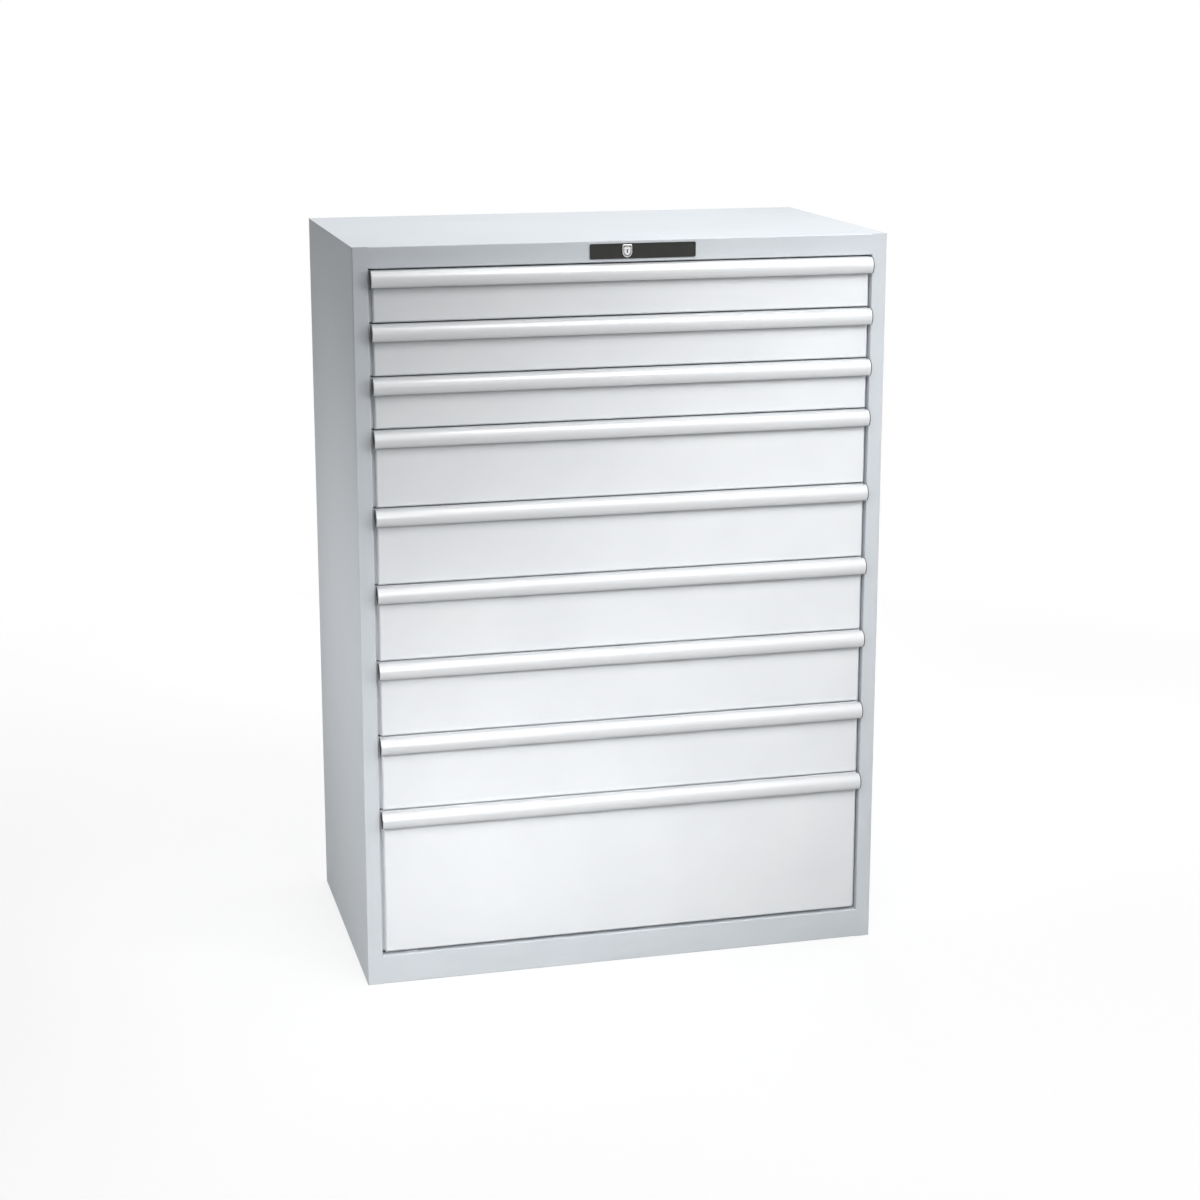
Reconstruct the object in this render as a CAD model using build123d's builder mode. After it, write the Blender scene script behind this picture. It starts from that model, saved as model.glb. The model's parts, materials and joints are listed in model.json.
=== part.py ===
from build123d import *
import os
from math import asin, cos, radians, sin

os.makedirs("parts", exist_ok=True)

# A floor-standing drawer cabinet in sheet steel: a folded housing, nine drawers on telescopic
# slides, a full-width grip strip on every drawer, and one key lock that bolts all of them.
# Millimetres, +Z up, fronts facing -Y. The origin is on the floor, in the middle of the
# cabinet's overall box.

# Housing
width = 1045.0
depth = 590.0  # front of the posts to the back edge
header_height = 41.0  # front rail above the drawers
plinth_height = 59.0  # front rail below the drawers
housing_sheet = 1.5
housing_bend = 2.5  # outside radius of a fold
post_width = 30.0
post_return = 26.0  # how far a post folds back beside the drawers
header_return = 22.0
header_lip = 8.0
rear_flange = 25.0
floor_flange = 45.0
anchor_radius = 6.5  # floor anchor hole
anchor_inset = 60.0  # anchor hole to the end of the plinth
access_width = 18.0  # window in the deck above each anchor, for the anchor and a long bit
stopper_rim = 3.0  # what a stopper's rim covers of the deck beside its window
stopper_rim_thickness = 1.5
stopper_depth = 6.0
stopper_gap = 0.15
fit_gap = 1.0  # play left beside a notched sheet

# Drawer stack, from the top down
shallow_height = 100.0
medium_height = 150.0
deep_height = 300.0
shallow_count = 3
medium_count = 5
drawer_heights = [shallow_height] * shallow_count + [medium_height] * medium_count + [deep_height]

# Drawer front
front_sheet = 1.2
front_bend = 5.0
front_depth = 15.0
front_gap = 3.0  # dark line above every grip strip
side_reveal = 6.5  # gap beside the fronts and under the lowest one
front_rim_gap = 1.5  # between the post and the rim that closes the gap behind a front's side

# Grip strip, a drawn aluminium profile
grip_reach = 18.0  # how far it stands out from the front
grip_height = 31.0
grip_wall = 2.0
grip_top_reach = 6.0  # width of its flat top
grip_lip_reach = 11.5  # how far out its lower lip ends
grip_crest = 16.0  # the furthest point, measured down from the top
grip_foot = 13.0  # height of the flange against the front
grip_end_gap = 3.0  # between the strip's end and the post
cap_thickness = 1.5  # plate of the cap that closes an end of the strip
spigot_gap = 0.15  # cap's spigot to the strip's foot
spigot_drop = 6.0  # spigot below the strip's top
spigot_width = 8.0
spigot_height = 7.0
spigot_length = 8.0

# Drawer tray
tray_sheet = 1.0
tray_gap = 1.5  # tray floor above the fold of the lowest front
tray_headroom = 14.0  # tray rim below the top of its bay
tray_rim = 8.0
rear_space = 100.0  # behind the trays, for the locking bar
runner_space = 26.5  # tray wall to the edge of the opening
travel = 470.0

# Runners: a channel on the housing, a channel on the tray, and a middle slide that telescopes
# between them on balls
rail_sheet = 1.5
rail_rise = 40.0  # runner's middle above the bottom of its bay
rail_start = 30.0  # front end of a housing channel, behind the front plane
rail_end_gap = 45.0  # its rear end, in front of the back edge
tray_rail_start = 18.0
slide_web = 3.0
slide_flange = 3.0
slide_height = 22.0
web_gap = 0.5  # slide's web to the channels' edges
ball_gap = 0.4  # slide's flanges to the channels
slide_inner_gap = 2.0  # slide's inner edge to the tray channel's back
slide_post_gap = 1.0  # slide's outer edge to the post
slide_overlap = 150.0  # what the slide still holds of the tray's channel when the drawer is out

# Slotted uprights that the housing channels hook into
upright_sheet = 1.5
upright_bend = 2.5
upright_width = 40.0
upright_setback = 3.5  # upright's face behind the edge of the opening
front_upright_start = 34.0
rear_upright_gap = 110.0  # front edge of the rear upright to the back edge
slot_width = 12.0
slot_height = 7.0
hook_width = 10.0
hook_height = 5.0
hook_reach = 5.0

# Lock
lock_drop = 20.0  # key's axis below the top
plate_left = 72.0
plate_right = 135.0
plate_height = 28.6
plate_thickness = 2.5
plate_edge = 0.5
plate_rim = 1.2  # raised border round the plate's field
plate_field_sink = 0.7
bezel_width = 18.5
bezel_height = 24.5
bezel_thickness = 2.0
bezel_crown_share = 0.14  # rise of the bezel's curved top
bezel_side_share = 0.52  # where its straight sides end, from the top
barrel_radius = 8.5
barrel_length = 25.0
barrel_gap = 0.1
plug_radius = 6.0
plug_play = 0.05
plug_sink = 0.3
plug_tail = 5.0  # how far the plug runs past the barrel
keyway_width = 1.8
keyway_height = 7.5
keyway_depth = 12.0

# Locking bar and what turns it
shaft_radius = 4.0
crank_radius = 12.0
crank_pin_radius = 3.0
crank_thickness = 6.0
crank_rim = 4.0  # material round the pin and the shaft
half_turn_angle = 45.0  # the crank pin swings this far to each side of level
pin_play = 0.6
locking_bar_width = 30.0
locking_bar_thickness = 3.0
locking_bar_top = 8.0  # bar above the pin's slot
bar_x = -10.0  # middle of the bar
bar_setback = 18.0  # tray's rear wall to the bar
bar_foot_gap = 16.0  # bar's lower end above the deck
guide_gap = 0.3
guide_sheet = 2.0
guide_height = 40.0
hanger_thickness = 3.0
hanger_width = 30.0
hanger_drop = 12.0  # hanger below the shaft's axis
hanger_setback = 20.0  # hanger in front of the crank
tongue_rise = 60.0  # a tray's locking tongue above the bottom of its bay
tongue_width = 8.0
tongue_thickness = 4.0
tongue_head_width = 18.0
tongue_head = 5.0
tongue_gap = 1.0

overrun = 5.0  # how far a cutting shape runs past what it cuts

# Places that follow from the sizes above
stack_height = sum(drawer_heights)
height = plinth_height + stack_height + header_height
front_y = grip_reach - (grip_reach + depth) / 2
back_y = front_y + depth
side_x = width / 2
wall_x = side_x - housing_sheet
opening_x = side_x - post_width
opening_top = height - header_height
rear_wall_y = back_y - 2 * housing_sheet
top_under = height - housing_sheet

front_x = opening_x - side_reveal
front_rim = side_reveal - front_rim_gap
grip_x = opening_x - grip_end_gap
tray_x = opening_x - runner_space
tray_lift = side_reveal + front_bend + tray_gap
tray_front_y = front_y + front_sheet
tray_back_y = back_y - rear_space
tray_length = tray_back_y - tray_front_y
tray_mid_y = (tray_front_y + tray_back_y) / 2

upright_x = opening_x + upright_setback
channel_depth = (upright_x - tray_x - slide_web - 2 * web_gap) / 2
channel_space = slide_height + 2 * ball_gap
channel_height = channel_space + 2 * rail_sheet
rail_front_y = front_y + rail_start
rail_back_y = back_y - rail_end_gap
tray_rail_y = front_y + tray_rail_start

# The middle slide moves half as far as its drawer, so it reaches back to the end of the housing
# channel when the drawer is shut, and holds the tail of the tray channel when it is right out
slide_web_x = tray_x + channel_depth + web_gap
slide_inner_x = tray_x + rail_sheet + slide_inner_gap
slide_outer_x = opening_x - slide_post_gap
slide_front_y = tray_back_y - travel / 2 - slide_overlap

lock_z = height - lock_drop
locking_bar_y = tray_back_y + bar_setback
crank_y = locking_bar_y - crank_thickness - pin_play
lock_lift = 2 * crank_radius * sin(radians(half_turn_angle))
pin_low_z = lock_z - crank_radius * sin(radians(half_turn_angle))
pin_near_x = -crank_radius * cos(radians(half_turn_angle))


def save(shape, name):
    """Writes one piece, or one group of like pieces, under its name."""
    shape.label = name
    export_step(shape, f"parts/{name}.step")


def folded(points, sheet, bend, side):
    """Outline of a folded sheet whose outer face follows the points."""
    with BuildLine() as path:
        FilletPolyline(*points, radius=bend)
        offset(amount=sheet, side=side)
    return path.edges()


# Side panels: each is one sheet with the front post, its return and the rear flange folded on
with BuildPart() as right_side_panel:
    with BuildSketch():
        make_face(
            folded(
                [
                    (side_x - rear_flange, back_y),
                    (side_x, back_y),
                    (side_x, front_y),
                    (opening_x, front_y),
                    (opening_x, front_y + post_return),
                ],
                housing_sheet,
                housing_bend,
                Side.RIGHT,
            )
        )
    extrude(amount=top_under)

with BuildPart() as left_side_panel:
    mirror(right_side_panel.part, about=Plane.YZ)

# Rear panel, on the inside of the rear flanges
with BuildPart() as rear_panel:
    with BuildSketch(Plane.XZ.offset(-rear_wall_y)):
        with Locations((0, top_under / 2)):
            Rectangle(2 * (side_x - housing_bend), top_under)
    extrude(amount=-housing_sheet)

# Top panel: its front folds down between the posts as the header, and back under itself
with BuildPart() as top_panel:
    with BuildSketch(Plane.YZ):
        make_face(
            folded(
                [
                    (back_y, height),
                    (front_y, height),
                    (front_y, opening_top),
                    (front_y + header_return, opening_top),
                    (front_y + header_return, opening_top + header_lip),
                ],
                housing_sheet,
                housing_bend,
                Side.LEFT,
            )
        )
    extrude(amount=opening_x, both=True)
    with BuildSketch(Plane.XY.offset(top_under)):
        with Locations((opening_x + post_width / 2, (front_y + back_y) / 2)):
            Rectangle(post_width, depth)
        mirror(about=Plane.YZ)
    extrude(amount=housing_sheet)
    with BuildSketch(Plane.XZ.offset(-front_y)):
        with Locations((0, lock_z)):
            Circle(barrel_radius + barrel_gap)
    extrude(amount=-header_return / 2, mode=Mode.SUBTRACT)

# Base: plinth, deck and rear foot in one folded sheet, with anchor holes in its floor flanges
anchor_x = opening_x - anchor_inset
anchor_front_y = front_y + floor_flange / 2
anchor_back_y = rear_wall_y - floor_flange / 2
anchors = [(x, y) for x in (-anchor_x, anchor_x) for y in (anchor_front_y, anchor_back_y)]
deck_front_y = front_y + post_return + fit_gap
tab_near_x = opening_x + housing_sheet + fit_gap
tab_far_x = wall_x - fit_gap
tab_front_y = front_y + housing_sheet + fit_gap
with BuildPart() as base_panel:
    with BuildSketch(Plane.YZ):
        make_face(
            folded(
                [
                    (front_y + floor_flange, 0),
                    (front_y, 0),
                    (front_y, plinth_height),
                    (rear_wall_y, plinth_height),
                    (rear_wall_y, 0),
                    (rear_wall_y - floor_flange, 0),
                ],
                housing_sheet,
                housing_bend,
                Side.RIGHT,
            )
        )
    extrude(amount=opening_x, both=True)
    with BuildSketch(Plane.XY.offset(plinth_height - housing_sheet)):
        with Locations(((opening_x + wall_x) / 2, (deck_front_y + rear_wall_y - housing_bend) / 2)):
            Rectangle(wall_x - opening_x, rear_wall_y - housing_bend - deck_front_y)
        # a tab of the deck closes the foot of each hollow post
        with Locations(((tab_near_x + tab_far_x) / 2, (tab_front_y + deck_front_y) / 2)):
            Rectangle(tab_far_x - tab_near_x, deck_front_y - tab_front_y)
        mirror(about=Plane.YZ)
    extrude(amount=housing_sheet)
    with BuildSketch():
        with Locations(*anchors):
            Circle(anchor_radius)
    extrude(amount=plinth_height / 2, mode=Mode.SUBTRACT)
    with BuildSketch(Plane.XY.offset(plinth_height / 2)):
        with Locations(*anchors):
            Rectangle(access_width, access_width)
    extrude(amount=plinth_height, mode=Mode.SUBTRACT)

# Stoppers that close the deck's windows once the anchors are in
rim_width = access_width + 2 * stopper_rim
stopper_width = access_width - 2 * stopper_gap
with BuildPart() as deck_stoppers:
    with BuildSketch(Plane.XY.offset(plinth_height)):
        with Locations(*anchors):
            Rectangle(rim_width, rim_width)
    extrude(amount=stopper_rim_thickness)
    with BuildSketch(Plane.XY.offset(plinth_height)):
        with Locations(*anchors):
            Rectangle(stopper_width, stopper_width)
    extrude(amount=-stopper_depth)

# Bays from the top down: the bottom of each one, above the floor
bays = []
bay_top = opening_top
for drawer_height in drawer_heights:
    bay_top -= drawer_height
    bays.append(bay_top)


# Slotted uprights, two behind each post and two near the back
upright_starts = [front_y + front_upright_start, back_y - rear_upright_gap]
hook_places = [(y + upright_width / 2, z + rail_rise) for y in upright_starts for z in bays]
with BuildPart() as uprights:
    with BuildSketch(Plane.XY.offset(plinth_height)):
        for start_y in upright_starts:
            make_face(
                folded(
                    [
                        (wall_x, start_y),
                        (upright_x, start_y),
                        (upright_x, start_y + upright_width),
                        (wall_x, start_y + upright_width),
                    ],
                    upright_sheet,
                    upright_bend,
                    Side.RIGHT,
                )
            )
    extrude(amount=stack_height)
    with BuildSketch(Plane.YZ.offset(upright_x - overrun)):
        with Locations(*hook_places):
            Rectangle(slot_width, slot_height)
    extrude(amount=overrun + 2 * upright_sheet, mode=Mode.SUBTRACT)
    mirror(about=Plane.YZ)

save(left_side_panel.part, "left_side_panel")
save(right_side_panel.part, "right_side_panel")
save(rear_panel.part, "rear_panel")
save(top_panel.part, "top_panel")
save(base_panel.part, "base_panel")
save(deck_stoppers.part, "deck_stoppers")
save(uprights.part, "uprights")


def channel(edge_x, middle_z, outwards):
    """Section of a runner channel with its back at edge_x, open outwards or inwards."""
    way = 1 if outwards else -1
    with Locations((edge_x + way * channel_depth / 2, middle_z)):
        Rectangle(channel_depth, channel_height)
    with Locations((edge_x + way * (channel_depth + rail_sheet) / 2, middle_z)):
        Rectangle(channel_depth - rail_sheet, channel_space, mode=Mode.SUBTRACT)


# Housing channels, hooked into the uprights on both sides of every bay
with BuildPart() as cabinet_rails:
    with BuildSketch(Plane.XZ.offset(-rail_front_y)):
        for bay_z in bays:
            channel(upright_x, bay_z + rail_rise, outwards=False)
    extrude(amount=rail_front_y - rail_back_y)
    with BuildSketch(Plane.YZ.offset(upright_x)):
        with Locations(*hook_places):
            Rectangle(hook_width, hook_height)
    extrude(amount=hook_reach)
    mirror(about=Plane.YZ)

save(cabinet_rails.part, "cabinet_rails")


# The grip strip's bulge is two arcs that meet at its crest, where the wall is upright
upper_bulge = grip_reach - grip_top_reach
lower_bulge = grip_reach - grip_lip_reach
lower_drop = grip_height - grip_crest
upper_radius = (upper_bulge**2 + grip_crest**2) / (2 * upper_bulge)
lower_radius = (lower_bulge**2 + lower_drop**2) / (2 * lower_bulge)
lip_angle = asin(lower_drop / lower_radius)


def grip_line(top_z, inset):
    """Line of the grip strip's section, set in from its outer face, and its two end points."""

    def bulge(radius, angle):
        """Point of an arc that is upright at the crest; a positive angle is above the crest."""
        out = grip_reach - radius + (radius - inset) * cos(angle)
        return (front_y - out, top_z - grip_crest + (radius - inset) * sin(angle))

    edge_angle = asin((grip_crest - inset) / (upper_radius - inset))
    foot = (front_y - inset, top_z - grip_foot)
    corner = (front_y - inset, top_z - inset)
    edge = bulge(upper_radius, edge_angle)
    crest = bulge(upper_radius, 0)
    lip = bulge(lower_radius, -lip_angle)
    with BuildLine() as line:
        Polyline(foot, corner, edge)
        ThreePointArc(edge, bulge(upper_radius, edge_angle / 2), crest)
        ThreePointArc(crest, bulge(lower_radius, -lip_angle / 2), lip)
    return line.edges(), foot, lip


def make_front(name, base_z, top_z):
    """A folded pan with its open side to the tray, whose sides end in a rim turned outwards."""
    with BuildPart() as front:
        with BuildSketch(Plane.XZ.offset(-front_y)):
            with Locations((0, (base_z + top_z) / 2)):
                Rectangle(2 * front_x, top_z - base_z)
        extrude(amount=-front_depth)
        fillet(front.faces().sort_by(Axis.Y)[0].edges(), front_bend)
        offset(amount=-front_sheet, openings=front.faces().sort_by(Axis.Y)[-1])
        with BuildSketch(Plane.XZ.offset(-(front_y + front_depth))):
            with Locations((front_x + (front_rim - front_sheet) / 2, (base_z + top_z) / 2)):
                Rectangle(front_rim + front_sheet, top_z - base_z)
            mirror(about=Plane.YZ)
        extrude(amount=front_sheet)
    save(front.part, f"{name}_front")


def make_grip(name, top_z):
    """The grip strip along the top of a front, and the dark caps that close its ends."""
    outside, outer_foot, outer_lip = grip_line(top_z, 0)
    inside, inner_foot, inner_lip = grip_line(top_z, grip_wall)
    with BuildPart() as grip:
        with BuildSketch(Plane.YZ):
            foot_end = Edge.make_line(outer_foot, inner_foot)
            lip_end = Edge.make_line(outer_lip, inner_lip)
            make_face([*outside, *inside, foot_end, lip_end])
        extrude(amount=grip_x, both=True)
    save(grip.part, f"{name}_grip")

    spigot_y = front_y - grip_wall - spigot_gap - spigot_width / 2
    spigot_z = top_z - spigot_drop - spigot_height / 2
    with BuildPart() as caps:
        with BuildSketch(Plane.YZ.offset(grip_x)):
            make_face([*outside, Edge.make_line(outer_foot, outer_lip)])
        extrude(amount=cap_thickness)
        with BuildSketch(Plane.YZ.offset(grip_x)):
            with Locations((spigot_y, spigot_z)):
                Rectangle(spigot_width, spigot_height)
        extrude(amount=-spigot_length)
        mirror(about=Plane.YZ)
    save(caps.part, f"{name}_grip_caps")


def make_tray(name, bay_z, bay_height):
    """The tray with the channels welded to its sides and the locking tongue on its back."""
    floor_z = bay_z + tray_lift
    rim_z = bay_z + bay_height - tray_headroom
    with BuildPart() as pan:
        with BuildSketch(Plane.XY.offset(floor_z)):
            with Locations((0, tray_mid_y)):
                Rectangle(2 * tray_x, tray_length)
        extrude(amount=rim_z - floor_z)
        offset(amount=-tray_sheet, openings=pan.faces().sort_by(Axis.Z)[-1])
        with BuildSketch(Plane.XY.offset(rim_z - tray_sheet)):
            with Locations((0, tray_mid_y + tray_rim / 2)):
                Rectangle(2 * (tray_x + tray_rim), tray_length + tray_rim)
            with Locations((0, tray_mid_y)):
                Rectangle(2 * (tray_x - tray_sheet), tray_length - 2 * tray_sheet, mode=Mode.SUBTRACT)
        extrude(amount=tray_sheet)

    with BuildPart() as channels:
        with BuildSketch(Plane.XZ.offset(-tray_rail_y)):
            channel(tray_x, bay_z + rail_rise, outwards=True)
        extrude(amount=tray_rail_y - tray_back_y)
        mirror(about=Plane.YZ)

    neck_back_y = locking_bar_y + locking_bar_thickness + tongue_gap
    with BuildPart() as tongue:
        with BuildSketch(Plane.XY.offset(bay_z + tongue_rise - tongue_thickness / 2)):
            with Locations((bar_x, (tray_back_y + neck_back_y) / 2)):
                Rectangle(tongue_width, neck_back_y - tray_back_y)
            with Locations((bar_x, neck_back_y + tongue_head / 2)):
                Rectangle(tongue_head_width, tongue_head)
        extrude(amount=tongue_thickness)

    solids = pan.part.solids() + channels.part.solids() + tongue.part.solids()
    save(Compound(solids), f"{name}_tray")


def make_slides(name, bay_z):
    """The pair of middle slides of one drawer: a web with two flanges, held in both channels."""
    middle_z = bay_z + rail_rise
    flange_z = (slide_height - slide_flange) / 2
    with BuildPart() as slides:
        with BuildSketch(Plane.XZ.offset(-slide_front_y)):
            with Locations((slide_web_x + slide_web / 2, middle_z)):
                Rectangle(slide_web, slide_height)
            flange_x = (slide_inner_x + slide_outer_x) / 2
            with Locations((flange_x, middle_z - flange_z), (flange_x, middle_z + flange_z)):
                Rectangle(slide_outer_x - slide_inner_x, slide_flange)
        extrude(amount=slide_front_y - rail_back_y)
        mirror(about=Plane.YZ)
    save(slides.part, f"{name}_middle_slides")


for number, (bay_z, bay_height) in enumerate(zip(bays, drawer_heights), start=1):
    name = f"drawer_{number}"
    lowest = number == len(drawer_heights)
    base_z = bay_z + side_reveal if lowest else bay_z
    top_z = bay_z + bay_height - front_gap
    make_front(name, base_z, top_z)
    make_grip(name, top_z)
    make_tray(name, bay_z, bay_height)
    make_slides(name, bay_z)

# Lock plate on the header: a raised border round a sunk field, and the hole for the barrel
plate_y = front_y - plate_thickness
plate_field_y = plate_y + plate_field_sink
plate_width = plate_left + plate_right
plate_middle = ((plate_right - plate_left) / 2, lock_z)
with BuildPart() as lock_plate:
    with BuildSketch(Plane.XZ.offset(-front_y)):
        with Locations(plate_middle):
            Rectangle(plate_width, plate_height)
    extrude(amount=plate_thickness)
    chamfer(lock_plate.faces().sort_by(Axis.Y)[0].edges(), plate_edge)
    with BuildSketch(Plane.XZ.offset(-plate_y)):
        with Locations(plate_middle):
            Rectangle(plate_width - 2 * plate_rim, plate_height - 2 * plate_rim)
    extrude(amount=-plate_field_sink, mode=Mode.SUBTRACT)
    with BuildSketch(Plane.XZ.offset(-plate_y)):
        with Locations((0, lock_z)):
            Circle(barrel_radius + barrel_gap)
    extrude(amount=-plate_thickness, mode=Mode.SUBTRACT)

# Lock body: a shield-shaped bezel on the plate's field, and the barrel behind it
bezel_top = bezel_height / 2
bezel_side_z = bezel_top - bezel_height * bezel_side_share
bezel_shoulder_z = bezel_top - bezel_height * bezel_crown_share
with BuildPart() as lock_body:
    with BuildSketch(Plane.XZ.offset(-plate_field_y)):
        with BuildLine(Plane((0, lock_z))):
            ThreePointArc(
                (-bezel_width / 2, bezel_shoulder_z),
                (0, bezel_top),
                (bezel_width / 2, bezel_shoulder_z),
            )
            right_side = Line((bezel_width / 2, bezel_shoulder_z), (bezel_width / 2, bezel_side_z))
            TangentArc(right_side @ 1, (0, -bezel_top), tangent=right_side % 1)
            left_side = Line((-bezel_width / 2, bezel_shoulder_z), (-bezel_width / 2, bezel_side_z))
            TangentArc(left_side @ 1, (0, -bezel_top), tangent=left_side % 1)
        make_face()
    extrude(amount=plate_field_sink + bezel_thickness)
    with BuildSketch(Plane.XZ.offset(-plate_field_y)):
        with Locations((0, lock_z)):
            Circle(barrel_radius)
    extrude(amount=plate_field_y - plate_y - barrel_length)
    with BuildSketch(Plane.XZ.offset(-(plate_y - bezel_thickness))):
        with Locations((0, lock_z)):
            Circle(plug_radius + plug_play)
    extrude(amount=-(bezel_thickness + barrel_length + overrun), mode=Mode.SUBTRACT)

# Plug that the key turns
plug_front_y = plate_y - bezel_thickness + plug_sink
plug_back_y = plate_y + barrel_length + plug_tail
with BuildPart() as lock_plug:
    with BuildSketch(Plane.XZ.offset(-plug_front_y)):
        with Locations((0, lock_z)):
            Circle(plug_radius)
    extrude(amount=plug_front_y - plug_back_y)
    with BuildSketch(Plane.XZ.offset(-plug_front_y)):
        with Locations((0, lock_z)):
            Rectangle(keyway_width, keyway_height)
    extrude(amount=-keyway_depth, mode=Mode.SUBTRACT)

# Shaft from the plug to the back, with a crank whose pin lifts the locking bar
with BuildPart() as lock_shaft:
    with BuildSketch(Plane.XZ.offset(-plug_back_y)):
        with Locations((0, lock_z)):
            Circle(shaft_radius)
    extrude(amount=plug_back_y - crank_y)
    with BuildSketch(Plane.XZ.offset(-crank_y)) as crank:
        with Locations((0, lock_z)):
            Circle(shaft_radius + crank_rim)
        with Locations((pin_near_x, pin_low_z)):
            Circle(crank_pin_radius + crank_rim)
        make_hull()
    extrude(amount=-crank_thickness)
    with BuildSketch(Plane.XZ.offset(-(crank_y + crank_thickness))):
        with Locations((pin_near_x, pin_low_z)):
            Circle(crank_pin_radius)
    extrude(amount=-(pin_play + locking_bar_thickness))

# Locking bar: a stepped window for every tray's tongue, and the slot for the crank pin. The head
# of a tongue passes the window's wide part, and is held behind its narrow part once the bar is up.
bar_bottom_z = plinth_height + bar_foot_gap
bar_top_z = pin_low_z + locking_bar_top
pin_slot_width = crank_radius + pin_near_x + 2 * (crank_pin_radius + pin_play)
window_height = tongue_thickness + 2 * tongue_gap
with BuildPart() as locking_bar:
    with BuildSketch(Plane.XZ.offset(-locking_bar_y)):
        with Locations((bar_x, (bar_bottom_z + bar_top_z) / 2)):
            Rectangle(locking_bar_width, bar_top_z - bar_bottom_z)
        for bay_z in bays:
            with Locations((bar_x, bay_z + tongue_rise)):
                Rectangle(tongue_head_width + 2 * tongue_gap, window_height, mode=Mode.SUBTRACT)
            with Locations((bar_x, bay_z + tongue_rise - lock_lift / 2)):
                Rectangle(tongue_width + 2 * tongue_gap, window_height + lock_lift, mode=Mode.SUBTRACT)
        with Locations(((pin_near_x - crank_radius) / 2, pin_low_z)):
            SlotOverall(pin_slot_width, 2 * (crank_pin_radius + pin_play), mode=Mode.SUBTRACT)
    extrude(amount=-locking_bar_thickness)

# Guides that keep the bar upright: one stands on the deck, one hangs from the top
guide_x = locking_bar_width / 2 + guide_gap
guide_back_y = locking_bar_y + locking_bar_thickness + guide_gap
guide_depth = guide_back_y - locking_bar_y
with BuildPart() as bar_guides:
    for foot_z in (plinth_height, top_under - guide_height):
        with BuildSketch(Plane.XY.offset(foot_z)):
            with Locations((bar_x, (locking_bar_y + guide_back_y + guide_sheet) / 2)):
                Rectangle(2 * (guide_x + guide_sheet), guide_depth + guide_sheet)
            with Locations((bar_x, (locking_bar_y + guide_back_y) / 2)):
                Rectangle(2 * guide_x, guide_depth, mode=Mode.SUBTRACT)
        extrude(amount=guide_height)

# Hanger that carries the rear end of the shaft
hanger_low_z = lock_z - hanger_drop
with BuildPart() as shaft_hanger:
    with BuildSketch(Plane.XZ.offset(-(crank_y - hanger_setback))):
        with Locations((0, (hanger_low_z + top_under) / 2)):
            Rectangle(hanger_width, top_under - hanger_low_z)
        with Locations((0, lock_z)):
            Circle(shaft_radius + plug_play, mode=Mode.SUBTRACT)
    extrude(amount=-hanger_thickness)

save(lock_plate.part, "lock_plate")
save(lock_body.part, "lock_body")
save(lock_plug.part, "lock_plug")
save(lock_shaft.part, "lock_shaft")
save(locking_bar.part, "locking_bar")
save(bar_guides.part, "bar_guides")
save(shaft_hanger.part, "shaft_hanger")
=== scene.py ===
# %% [markdown]
# # Dressing a steel drawer cabinet
# The CAD model gives this cabinet its true sizes and its moving bodies. This lesson loads it as a
# fixed frame, sets up the camera and the studio, gives every piece its finish, and then models the
# pieces whose shape the eye rests on: the grip strips, the drawer fronts and the lock. The welds
# and rivets of the housing come last.
# Everything is in metres, with +Z up and the fronts facing -Y, exactly as in the CAD model.

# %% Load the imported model
import json
from math import asin, pi, radians

import bmesh
import bpy
from mathutils import Matrix, Vector


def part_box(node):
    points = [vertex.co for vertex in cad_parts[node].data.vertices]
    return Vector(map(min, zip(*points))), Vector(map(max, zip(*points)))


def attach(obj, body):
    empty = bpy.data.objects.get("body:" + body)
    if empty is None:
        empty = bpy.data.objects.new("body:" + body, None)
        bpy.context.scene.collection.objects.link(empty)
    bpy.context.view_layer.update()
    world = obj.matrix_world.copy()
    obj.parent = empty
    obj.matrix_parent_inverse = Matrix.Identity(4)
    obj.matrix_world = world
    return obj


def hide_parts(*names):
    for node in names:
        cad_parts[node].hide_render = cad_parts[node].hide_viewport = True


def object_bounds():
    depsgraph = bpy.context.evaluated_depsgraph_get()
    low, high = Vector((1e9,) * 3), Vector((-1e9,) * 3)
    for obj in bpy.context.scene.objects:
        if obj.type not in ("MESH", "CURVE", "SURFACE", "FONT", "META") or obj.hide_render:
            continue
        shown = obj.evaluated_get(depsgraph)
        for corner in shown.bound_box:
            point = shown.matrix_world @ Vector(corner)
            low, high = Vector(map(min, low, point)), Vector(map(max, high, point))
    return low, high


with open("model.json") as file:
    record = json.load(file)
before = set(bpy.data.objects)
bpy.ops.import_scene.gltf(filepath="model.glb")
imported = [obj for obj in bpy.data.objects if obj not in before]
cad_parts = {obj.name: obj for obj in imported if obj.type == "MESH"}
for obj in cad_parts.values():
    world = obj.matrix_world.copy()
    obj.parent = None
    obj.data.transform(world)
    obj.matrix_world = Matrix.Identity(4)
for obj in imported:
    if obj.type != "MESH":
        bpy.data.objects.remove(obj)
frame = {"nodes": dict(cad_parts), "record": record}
cad_box = [list(corner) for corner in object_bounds()]
drawer_count = 9
drawers = [f"drawer_{number}" for number in range(1, drawer_count + 1)]

# %% [markdown]
# ## Small helpers for modelling by hand
# Blender's operators act on whatever is selected, so each piece starts with nothing selected. A
# primitive is then added at its size and place, and its place is put into the mesh, because every
# finished object here sits at the origin.


# %% Start a piece
def deselect_all():
    """Leaves edit mode and lets go of every object."""
    if bpy.context.object and bpy.context.object.mode != "OBJECT":
        bpy.ops.object.mode_set(mode="OBJECT")
    bpy.ops.object.select_all(action="DESELECT")


def select_only(piece):
    """Makes one piece the selected and active one."""
    deselect_all()
    bpy.context.view_layer.objects.active = piece
    piece.select_set(True)


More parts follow.
